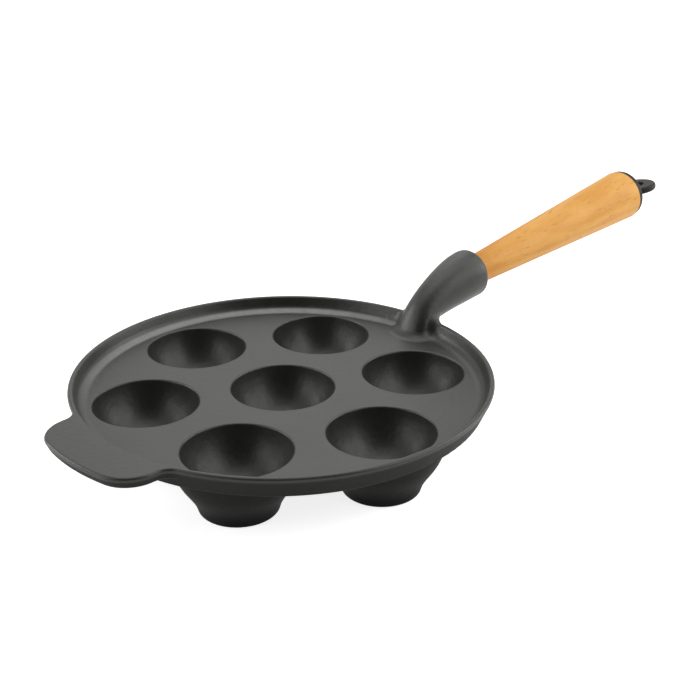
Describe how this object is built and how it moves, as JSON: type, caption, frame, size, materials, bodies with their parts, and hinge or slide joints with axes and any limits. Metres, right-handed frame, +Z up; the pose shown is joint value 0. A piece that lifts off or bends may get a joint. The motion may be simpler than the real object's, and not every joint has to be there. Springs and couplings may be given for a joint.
{
  "type": "aebleskiver pan",
  "caption": "Cast iron aebleskiver pan: footed round cups in a rimmed plate, a helper tab, and a swan neck holding a turned wooden handle with a screw-on hanging eye.",
  "frame": {"origin": "middle of the face that the centre cup stands on, in the standing plane", "axes": "+Z up, +X from the middle of the plate along the handle, helper tab on -X"},
  "size_m": [0.4891, 0.2306, 0.0888],
  "materials": {
    "iron": "seasoned, satin, fine sand-cast grain",
    "handle_wood": "oiled, fine lengthwise grain",
    "dark_metal": "dark brown-black, semi-gloss",
    "steel": "plain zinc plated steel"
  },
  "bodies": {
    "pan": {"pan_casting": "iron", "handle_rod": "steel", "rod_nut": "steel", "wooden_handle": "handle_wood"},
    "cap": {"end_cap": "dark_metal", "spring_washer": "steel"},
    "eye": {"hanging_eye": "dark_metal"}
  },
  "joints": [
    {"name": "cap_slide", "type": "slide", "parent": "pan", "child": "cap", "axis": [0.9961, 0, 0.0884], "range_m": [0, 0.01249]},
    {"name": "eye_screw", "type": "hinge", "parent": "cap", "child": "eye", "pos_m": [0.159, 0, 0.0579], "axis": [0.9961, 0, 0.0884], "range_deg": [0, 3600]}
  ],
  "couplings": [
    {"joint": "eye_screw", "follows": "cap_slide", "rad_per_m": 5026.5}
  ]
}
